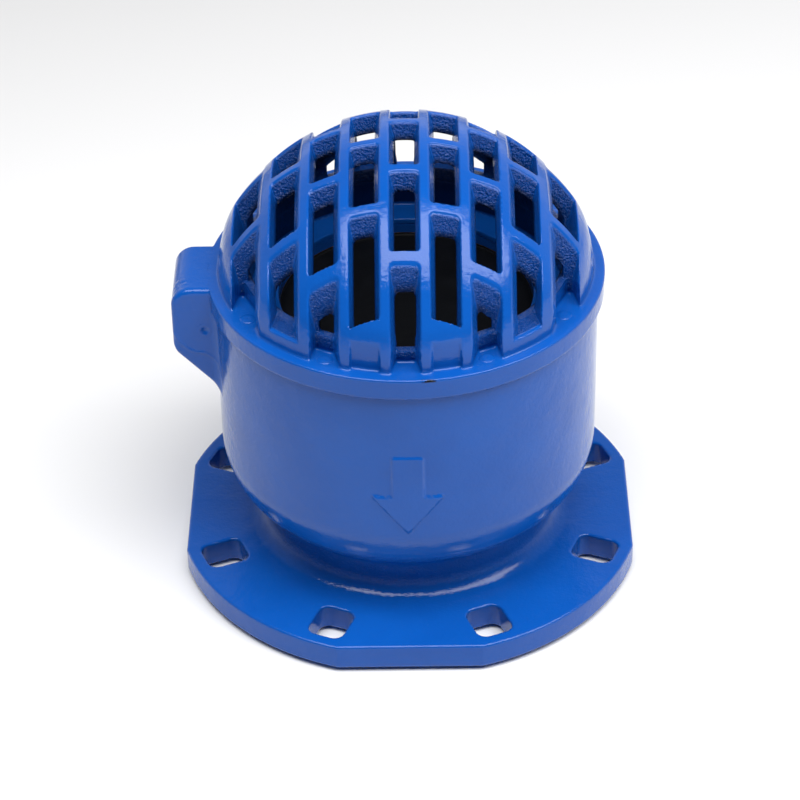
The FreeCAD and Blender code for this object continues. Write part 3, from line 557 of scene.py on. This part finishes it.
class Nodes:
    """A short way to build a material's nodes."""

    def __init__(self, name):
        self.material = bpy.data.materials.new(name)
        self.material.use_nodes = True
        self.tree = self.material.node_tree
        self.shader = self.tree.nodes["Principled BSDF"]
        self.place = self.add("ShaderNodeTexCoord").outputs["Object"]

    def add(self, kind, **settings):
        node = self.tree.nodes.new(kind)
        for name, value in settings.items():
            setattr(node, name, value)
        return node

    def join(self, source, target):
        self.tree.links.new(source, target)

    def fill(self, socket, value):
        if isinstance(value, bpy.types.NodeSocket):
            self.join(value, socket)
        else:
            socket.default_value = value

    def noise(self, scale, detail=3.0, rough=0.5, place=None):
        node = self.add("ShaderNodeTexNoise")
        node.inputs["Scale"].default_value = scale
        node.inputs["Detail"].default_value = detail
        node.inputs["Roughness"].default_value = rough
        self.join(place or self.place, node.inputs["Vector"])
        return node.outputs["Fac"]

    def math(self, operation, a, b=0.0):
        node = self.add("ShaderNodeMath", operation=operation)
        for socket, value in zip(node.inputs, (a, b)):
            self.fill(socket, value)
        return node.outputs[0]

    def product(self, first, *others):
        for other in others:
            first = self.math("MULTIPLY", first, other)
        return first

    def parts(self, vector):
        """A vector's three parts."""
        split = self.add("ShaderNodeSeparateXYZ")
        self.join(vector, split.inputs[0])
        return split.outputs

    def radius(self, x, y):
        """The distance from the valve's axis."""
        squares = self.math("ADD", self.math("POWER", x, 2.0), self.math("POWER", y, 2.0))
        return self.math("SQRT", squares)

    def span(self, value, low, high, to_low=0.0, to_high=1.0):
        """A value's run from low to high, eased and spread over another run."""
        node = self.add("ShaderNodeMapRange", interpolation_type="SMOOTHSTEP")
        for socket, number in zip(node.inputs, (value, low, high, to_low, to_high)):
            self.fill(socket, number)
        return node.outputs[0]

    def fade(self, value, zone):
        """A share that is 0 at a zone's start and 1 at its end, both in mm."""
        return self.span(value, zone[0] * MM, zone[1] * MM)

    def mix(self, share, first, second):
        node = self.add("ShaderNodeMix", data_type="RGBA")
        self.fill(node.inputs[0], share)
        self.fill(node.inputs[6], first)
        self.fill(node.inputs[7], second)
        return node.outputs[2]

    def bump(self, height, distance, strength=1.0, under=None):
        node = self.add("ShaderNodeBump")
        node.inputs["Strength"].default_value = strength
        node.inputs["Distance"].default_value = distance
        self.join(height, node.inputs["Height"])
        if under is not None:
            self.join(under, node.inputs["Normal"])
        return node.outputs["Normal"]

    def stretched(self, scale):
        node = self.add("ShaderNodeMapping")
        node.inputs["Scale"].default_value = scale
        self.join(self.place, node.inputs["Vector"])
        return node.outputs["Vector"]

    def set(self, **values):
        for name, value in values.items():
            self.fill(self.shader.inputs[name.replace("_", " ")], value)
        return self.material


PAINT = (0.0033, 0.077, 0.365, 1.0)
PAINT_DEEP = (0.0028, 0.068, 0.330, 1.0)
# Darker paint on the pitted walls: partly the rough paint's own tone, partly painted shade.
PAINT_PIT_AND_SHADE = (0.002, 0.036, 0.20, 1.0)
# Painted shade: the dark colour that stands in for shade inside the strainer.
PAINTED_SHADE_INSIDE = (0.0008, 0.010, 0.055, 1.0)
BARE_DARK = (0.004, 0.005, 0.008, 1.0)
PAINT_IOR = 1.38
RUBBER = (0.0015, 0.0022, 0.004, 1)
RUBBER_DUSTY = (0.003, 0.004, 0.007, 1)
BRONZE = (0.55, 0.33, 0.14, 1)
BRONZE_TARNISHED = (0.30, 0.17, 0.07, 1)
PRIMER = (0.022, 0.024, 0.028, 1)
PRIMER_WORN = (0.045, 0.047, 0.052, 1)
ZINC = (0.62, 0.62, 0.60, 1)
ZINC_DULL = (0.48, 0.47, 0.42, 1)
WIRE = (0.36, 0.36, 0.37, 1)
WIRE_OILY = (0.20, 0.20, 0.21, 1)
GASKET = (0.012, 0.013, 0.015, 1)
GASKET_FIBRE = (0.03, 0.03, 0.033, 1)
FLOOR = (0.78, 0.78, 0.785, 1)
FLOOR_PALE = (0.80, 0.80, 0.805, 1)

# Each zone is where a finish starts and where it is full, in mm.
CHAMBER_WALL = (BODY_RADIUS - 5.0, BODY_RADIUS - 7.0)
CHAMBER_FLOOR = (20.0, 30.0)
PITS_UNDER_DOME = (DOME_RADIUS - 0.6, DOME_RADIUS - 2.2)
PITS_INSIDE_FOOT = (FOOT_RADIUS - 3.2, FOOT_RADIUS - 4.5)
PITS_OVER_RING = (RING_TOP + 0.5, RING_TOP + 4.0)
# The next five zones place painted shade inside the dome and on the sill's inner face.
SHADE_UNDER_DOME = (DOME_RADIUS - 7.0, DOME_RADIUS - 11.5)
SHADE_OVER_RING = (RING_TOP + 16.0, RING_TOP + 26.0)
SHADE_SILL_INNER = (SPIGOT_RADIUS - SILL_THICK + 1.5, SPIGOT_RADIUS - SILL_THICK + 0.5)
SHADE_SILL_FROM_FLOOR = (SEAT_FLOOR_TOP + 0.5, SEAT_FLOOR_TOP + 2.5)
SHADE_SILL_UP_TO = (SILL_TOP + 2.0, SILL_TOP)
CHIP_LEFT = (8.0, 9.5)
CHIP_RIGHT = (17.5, 16.0)
CHIP_FRONT = (-114.5, -115.5)
CHIP_FOOT = (RING_TOP - 1.9, RING_TOP - 1.2)
SEAT_BARE = (seat_low[2] + 0.6, seat_low[2] + 0.3)
SEAT_PAINT_ROUGH = 0.12
PIT_SCALE = 800.0
PIT_SHARE = 0.6
PIT_SHADE = 0.65
TURNING_RATE = 14000.0


def paint_base(name):
    """Blue enamel's shader, its colour and its slow waviness."""
    n = Nodes(name)
    drift = n.noise(scale=22.0)
    colour = n.mix(n.span(drift, low=0.3, high=0.75), PAINT, PAINT_DEEP)
    waves = n.bump(n.noise(scale=70.0, detail=2.0), distance=0.0012, strength=0.4)
    grain = n.noise(scale=420.0, rough=0.6)
    peel = n.bump(grain, distance=0.0004, strength=0.5, under=waves)
    n.set(Roughness=0.065, IOR=PAINT_IOR, Specular_IOR_Level=0.5)
    return n, colour, peel


def enamel_body():
    """Enamel on the body: smooth outside, rough-cast inside the chamber."""
    n, colour, peel = paint_base("enamel_body")
    x, y, z = n.parts(n.place)
    rough = n.product(n.fade(n.radius(x, y), CHAMBER_WALL), n.fade(z, CHAMBER_FLOOR))
    grain = n.product(n.noise(scale=700.0, detail=4.0, rough=0.6), rough)
    normal = n.bump(grain, distance=0.0008, strength=0.6, under=peel)
    return n.set(Base_Color=colour, Normal=normal)


def enamel_cage():
    """Enamel on the strainer: smooth over the dome's outside, pitted on the windows' walls with painted
    shade there, painted shade darkening the inside, and chipped at one spot of the ring's front."""
    n, colour, peel = paint_base("enamel_cage")
    x, y, z = n.parts(n.place)
    radius = n.radius(x, y)
    from_centre = n.add("ShaderNodeVectorMath", operation="SUBTRACT")
    n.join(n.place, from_centre.inputs[0])
    from_centre.inputs[1].default_value = (0, 0, DOME_CENTRE * MM)
    length = n.add("ShaderNodeVectorMath", operation="LENGTH")
    n.join(from_centre.outputs[0], length.inputs[0])
    distance = length.outputs["Value"]
    facing = n.parts(n.add("ShaderNodeTexCoord").outputs["Normal"])[0]
    across = n.span(n.math("ABSOLUTE", facing), low=0.5, high=0.9, to_low=1.0, to_high=0.25)
    rough = n.product(n.fade(distance, PITS_UNDER_DOME), n.fade(radius, PITS_INSIDE_FOOT),
                      n.fade(z, PITS_OVER_RING), across)
    pits = n.add("ShaderNodeTexVoronoi", feature="SMOOTH_F1")
    pits.inputs["Scale"].default_value = PIT_SCALE
    pits.inputs["Randomness"].default_value = 1.0
    n.join(n.place, pits.inputs["Vector"])
    grain = n.noise(scale=PIT_SCALE, detail=4.0, rough=0.65)
    coarse = n.math("ADD", grain, n.product(pits.outputs["Distance"], PIT_SHARE))
    normal = n.bump(n.product(coarse, rough), distance=0.0018, strength=0.9, under=peel)
    # Pitted walls darker: partly the rough paint, partly painted shade on the windows' walls.
    colour = n.mix(n.product(rough, PIT_SHADE), colour, PAINT_PIT_AND_SHADE)
    # Painted shade: darker colour inside the dome and on the sill's inner face.
    dome_shade = n.product(n.fade(distance, SHADE_UNDER_DOME), n.fade(z, SHADE_OVER_RING))
    sill_shade = n.product(n.fade(radius, SHADE_SILL_INNER), n.fade(z, SHADE_SILL_FROM_FLOOR),
                            n.fade(z, SHADE_SILL_UP_TO))
    colour = n.mix(n.math("MAXIMUM", dome_shade, sill_shade), colour, PAINTED_SHADE_INSIDE)
    chip = n.product(n.fade(x, CHIP_LEFT), n.fade(x, CHIP_RIGHT), n.fade(y, CHIP_FRONT),
                     n.fade(z, CHIP_FOOT))
    ragged = n.span(n.noise(scale=420.0, detail=2.0), low=0.42, high=0.48)
    colour = n.mix(n.product(chip, ragged), colour, BARE_DARK)
    return n.set(Base_Color=colour, Normal=normal)


def enamel_small():
    """Enamel on the screws and the plug."""
    n, colour, peel = paint_base("enamel_small")
    return n.set(Base_Color=colour, Normal=peel)


def rubber_black():
    """Matt moulded rubber with a faint dusty bloom."""
    n = Nodes("rubber_black")
    bloom = n.noise(scale=60.0, detail=5.0, rough=0.6)
    colour = n.mix(n.span(bloom, low=0.45, high=0.8), RUBBER, RUBBER_DUSTY)
    skin = n.bump(n.noise(scale=900.0), distance=0.0002, strength=0.4)
    rough = n.span(bloom, low=0.2, high=0.8, to_low=0.5, to_high=0.68)
    return n.set(Base_Color=colour, Normal=skin, Roughness=rough, IOR=1.25)


def bronze_base(name):
    """Turned bronze's shader, with its colour, its roughness and the height along the axis."""
    n = Nodes(name)
    tarnish = n.noise(scale=90.0, detail=5.0, rough=0.65)
    colour = n.mix(n.span(tarnish, low=0.4, high=0.75), BRONZE, BRONZE_TARNISHED)
    x, y, z = n.parts(n.place)
    rings = n.math("SINE", n.product(n.radius(x, y), TURNING_RATE))
    normal = n.bump(rings, distance=0.00003, strength=0.5)
    rough = n.span(tarnish, low=0.3, high=0.8, to_low=0.24, to_high=0.42)
    n.set(Base_Color=colour, Metallic=1.0, Roughness=rough, Normal=normal)
    return n, colour, rough, z


def bronze_turned():
    """Turned bronze: fine rings, warm, a little tarnished."""
    return bronze_base("bronze_turned")[0].material


def seat_bronze():
    """The seat: bare bronze on its sealing face, painted over with the cage above it."""
    n, colour, rough, height = bronze_base("seat_bronze")
    bare = n.fade(height, SEAT_BARE)
    painted = n.math("SUBTRACT", 1.0, bare)
    rough = n.math("ADD", n.product(rough, bare), n.product(painted, SEAT_PAINT_ROUGH))
    return n.set(Base_Color=n.mix(bare, PAINT_DEEP, colour), Metallic=bare, Roughness=rough)


def iron_primed():
    """Cast iron in dark primer, rough all over."""
    n = Nodes("iron_primed")
    patches = n.noise(scale=45.0, detail=4.0, rough=0.6)
    colour = n.mix(n.span(patches, low=0.4, high=0.7), PRIMER, PRIMER_WORN)
    grain = n.noise(scale=650.0, detail=4.0, rough=0.6)
    skin = n.bump(grain, distance=0.0007, strength=0.6)
    rough = n.span(patches, low=0.3, high=0.7, to_low=0.45, to_high=0.62)
    return n.set(Base_Color=colour, Roughness=rough, Normal=skin)


def zinc_plated():
    """Bright zinc on steel, slightly yellowed, with fine drawn marks."""
    n = Nodes("zinc_plated")
    cloud = n.noise(scale=140.0, detail=4.0)
    colour = n.mix(n.span(cloud, low=0.35, high=0.7), ZINC, ZINC_DULL)
    drawn = n.noise(scale=1500.0, detail=2.0, place=n.stretched((1, 1, 0.08)))
    marks = n.bump(drawn, distance=0.00005, strength=0.5)
    rough = n.span(cloud, low=0.3, high=0.7, to_low=0.22, to_high=0.36)
    return n.set(Base_Color=colour, Metallic=1.0, Roughness=rough, Normal=marks)


def spring_wire():
    """Drawn spring wire, oily in patches."""
    n = Nodes("spring_wire")
    oil = n.noise(scale=300.0)
    colour = n.mix(n.span(oil, low=0.4, high=0.7), WIRE, WIRE_OILY)
    marks = n.bump(n.noise(scale=2500.0, detail=2.0), distance=0.00003, strength=0.4)
    rough = n.span(oil, low=0.3, high=0.7, to_low=0.25, to_high=0.4)
    return n.set(Base_Color=colour, Metallic=1.0, Roughness=rough, Normal=marks)


def gasket_sheet():
    """Pressed fibre and rubber sheet, matt."""
    n = Nodes("gasket_sheet")
    fibre = n.noise(scale=800.0, detail=5.0, rough=0.7, place=n.stretched((1, 3, 1)))
    colour = n.mix(fibre, GASKET, GASKET_FIBRE)
    skin = n.bump(fibre, distance=0.0002, strength=0.5)
    return n.set(Base_Color=colour, Roughness=0.7, Normal=skin)


def pale_floor():
    """The studio's pale, matt floor."""
    n = Nodes("pale_floor")
    tone = n.mix(n.noise(scale=3.0, detail=2.0), FLOOR, FLOOR_PALE)
    return n.set(Base_Color=tone, Roughness=0.9, Specular_IOR_Level=0.1)


# ------------------------------------------------------------------ pieces


def place_piece(piece, body, slot, *nodes):
    """Ride a piece on a body and hide the CAD nodes that it stands for. Its slot is not used."""
    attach(piece, body)
    if nodes:
        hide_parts(*nodes)


def build_castings(paint_body, paint_cage):
    """The body and the strainer."""
    body = mesh_from_field("body_casting", body_field, body_low, body_high, BODY_STEP, paint_body)
    place_piece(body, "valve", "blue_enamel", "valve_body")
    cage = mesh_from_field("strainer_casting", cage_field, cage_low, cage_high, CAGE_STEP, paint_cage)
    place_piece(cage, "valve", "blue_enamel", "strainer_cage")


def repaint(node, material):
    """Give a CAD node that stays in view a better material."""
    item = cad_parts[node]
    if not item.material_slots:
        item.data.materials.append(material)
    for slot in item.material_slots:
        slot.material = material


DIMPLE_RADIUS = 3.4
DIMPLE_DEPTH = 1.1
DIMPLE_STEPS = 10
PLUG_LIP = 0.8
PLUG_LIP_THICK = 0.3
PLUG_LIP_BULGE = 0.1
PLUG_GAP = 0.1
PLUG_LENGTH = 3.0
PLUG_PROUD = 0.04
PLUG_ROUND = 0.01
PLUG_SEGMENTS = 64
SCREW_RADIUS = 3.0
SCREW_HEAD = 4.75
SCREW_HEAD_EDGE = -0.1
SCREW_CROWN = ((0, 0.8), (2.4, 0.75), (4.1, 0.35))
SCREW_ROUND = 0.5
SCREW_SEGMENTS = 48


def build_fasteners(paint):
    """The painted-over screws of the cage and the plug at the pin's end."""
    screw_base = extent("strainer_screws")[0][2]
    head_base = RING_TOP - SCREW_HEAD_DEPTH
    places = [Matrix.Translation((side * across, end * along, 0))
              for across, along in screw_spots() for side in (-1, 1) for end in (-1, 1)]
    screw = [(radius, RING_TOP + rise) for radius, rise in SCREW_CROWN]
    screw += [(SCREW_HEAD, RING_TOP + SCREW_HEAD_EDGE), (SCREW_HEAD, head_base),
              (SCREW_RADIUS, head_base), (SCREW_RADIUS, screw_base), (0, screw_base)]
    screws = turned("cage_screws", screw, SCREW_ROUND, paint, places, SCREW_SEGMENTS)
    place_piece(screws, "valve", "blue_screws", "strainer_screws")
    dimple = []
    for k in range(DIMPLE_STEPS + 1):
        share = k / DIMPLE_STEPS
        dimple.append((share * DIMPLE_RADIUS, DIMPLE_DEPTH * (1 + math.cos(math.pi * share)) / 2))
    lip = PIN_RADIUS + PLUG_LIP
    shank = PIN_RADIUS - PLUG_GAP
    dimple += [(lip, 0), (lip + PLUG_LIP_BULGE, PLUG_LIP_THICK), (shank, PLUG_LIP),
               (shank, PLUG_LENGTH), (0, PLUG_LENGTH)]
    place = along_y(PIN_X, plug_low[1] - PLUG_PROUD, PIN_Z)
    plug = turned("dimpled_plug", dimple, PLUG_ROUND, paint, [place], PLUG_SEGMENTS)
    place_piece(plug, "valve", "blue_enamel", "pin_plug")


def build_small_pieces(rubber, seat, bronze, iron, zinc, wire, gasket):
    """The pieces whose own shapes stay in view, repainted."""
    for node, material in (
        ("body_gasket", gasket), ("seat_ring", seat),
        ("flap_core", iron), ("flap_rubber", rubber), ("hinge_arm", iron), ("flap_washer", zinc),
        ("flap_nut", zinc), ("split_pin", zinc), ("hinge_pin", zinc),
        ("hinge_bush_front", bronze), ("hinge_bush_rear", bronze),
        ("thrust_washer_front", bronze), ("thrust_washer_rear", bronze),
        ("closing_spring_front", wire), ("closing_spring_rear", wire),
    ):
        repaint(node, material)


# ------------------------------------------------------------------ camera, floor and light

CAMERA_LENS = 131.73
CAMERA_SENSOR = 36.0
CAMERA_SHIFT = (-0.0099, -0.0081)
CAMERA_RISE = math.radians(36.107)
CAMERA_TURN = math.radians(-0.457)
CAMERA_ROLL = math.radians(-0.944)
CAMERA_DISTANCE = 1.7693
CAMERA_TARGET = (0, 0, 0.103)
CAMERA_CLIP = (0.05, 30)


def build_camera():
    """The camera's place: 1.77 m from the valve's middle, 36 degrees above, nearly square on."""
    data = bpy.data.cameras.new("camera")
    data.lens = CAMERA_LENS
    data.sensor_width = CAMERA_SENSOR
    data.shift_x, data.shift_y = CAMERA_SHIFT
    camera = bpy.data.objects.new("camera", data)
    bpy.context.scene.collection.objects.link(camera)
    flat = math.cos(CAMERA_RISE)
    forward = Vector((math.sin(CAMERA_TURN) * flat, math.cos(CAMERA_TURN) * flat,
                      -math.sin(CAMERA_RISE)))
    right = Vector((math.cos(CAMERA_TURN), -math.sin(CAMERA_TURN), 0))
    up = right.cross(forward)
    cosine, sine = math.cos(CAMERA_ROLL), math.sin(CAMERA_ROLL)
    right, up = right * cosine + up * sine, up * cosine - right * sine
    matrix = Matrix((right, up, -forward)).transposed().to_4x4()
    matrix.translation = Vector(CAMERA_TARGET) - forward * CAMERA_DISTANCE
    camera.matrix_world = matrix
    data.clip_start, data.clip_end = CAMERA_CLIP
    bpy.context.scene.camera = camera


def area_light(name, place, aim, wide, tall, power):
    """A soft box of a size in metres and a power in watts, aimed at a point."""
    data = bpy.data.lights.new(name, "AREA")
    data.shape = "RECTANGLE"
    data.size = wide
    data.size_y = tall
    data.energy = power
    light = bpy.data.objects.new(name, data)
    bpy.context.scene.collection.objects.link(light)
    light.location = place
    light.rotation_mode = "QUATERNION"
    light.rotation_quaternion = (Vector(aim) - Vector(place)).to_track_quat("-Z", "Y")


FLOOR_HALF = 12.0
BOX_PLACE = (0.65, -0.55, 1.75)
BOX_AIM = (0.65, -0.55, 0)
BOX_WIDE = 3.4
BOX_TALL = 1.16
BOX_POWER = 90
SKY_REAR = (-0.25, 0.45, 0.08, 1.0)
SKY_LOW = (0.0, 0.95, 1.0, 0.08)


def build_stage(floor_material):
    """The floor, one soft box overhead and a sky that is brightest low down at the back."""
    mesh = bpy.data.meshes.new("floor")
    corners = [(side * FLOOR_HALF, end * FLOOR_HALF, 0)
               for side, end in ((-1, -1), (1, -1), (1, 1), (-1, 1))]
    mesh.from_pydata(corners, [], [(0, 1, 2, 3)])
    floor = finish_piece("floor", mesh, floor_material)
    area_light("top_box", BOX_PLACE, BOX_AIM, BOX_WIDE, BOX_TALL, BOX_POWER)
    world = bpy.data.worlds.new("studio")
    bpy.context.scene.world = world
    world.use_nodes = True
    tree = world.node_tree
    back = tree.nodes["Background"]
    back.inputs["Color"].default_value = (1, 1, 1, 1)
    place = tree.nodes.new("ShaderNodeTexCoord")
    split = tree.nodes.new("ShaderNodeSeparateXYZ")
    tree.links.new(place.outputs["Generated"], split.inputs[0])
    rear = sky_ramp(tree, split.outputs[1], SKY_REAR)
    low = sky_ramp(tree, split.outputs[2], SKY_LOW)
    glow = tree.nodes.new("ShaderNodeMath")
    glow.operation = "MULTIPLY"
    tree.links.new(rear, glow.inputs[0])
    tree.links.new(low, glow.inputs[1])
    tree.links.new(glow.outputs[0], back.inputs["Strength"])


def sky_ramp(tree, value, run):
    """A value's own run, spread over another run. The four numbers are both runs' low and high."""
    ramp = tree.nodes.new("ShaderNodeMapRange")
    for socket, number in zip(ramp.inputs[1:5], run):
        socket.default_value = number
    tree.links.new(value, ramp.inputs[0])
    return ramp.outputs[0]


bpy.context.scene.view_settings.view_transform = "Standard"
build_camera()
build_stage(pale_floor())
build_castings(enamel_body(), enamel_cage())
build_fasteners(enamel_small())
build_small_pieces(rubber_black(), seat_bronze(), bronze_turned(), iron_primed(), zinc_plated(),
                   spring_wire(), gasket_sheet())
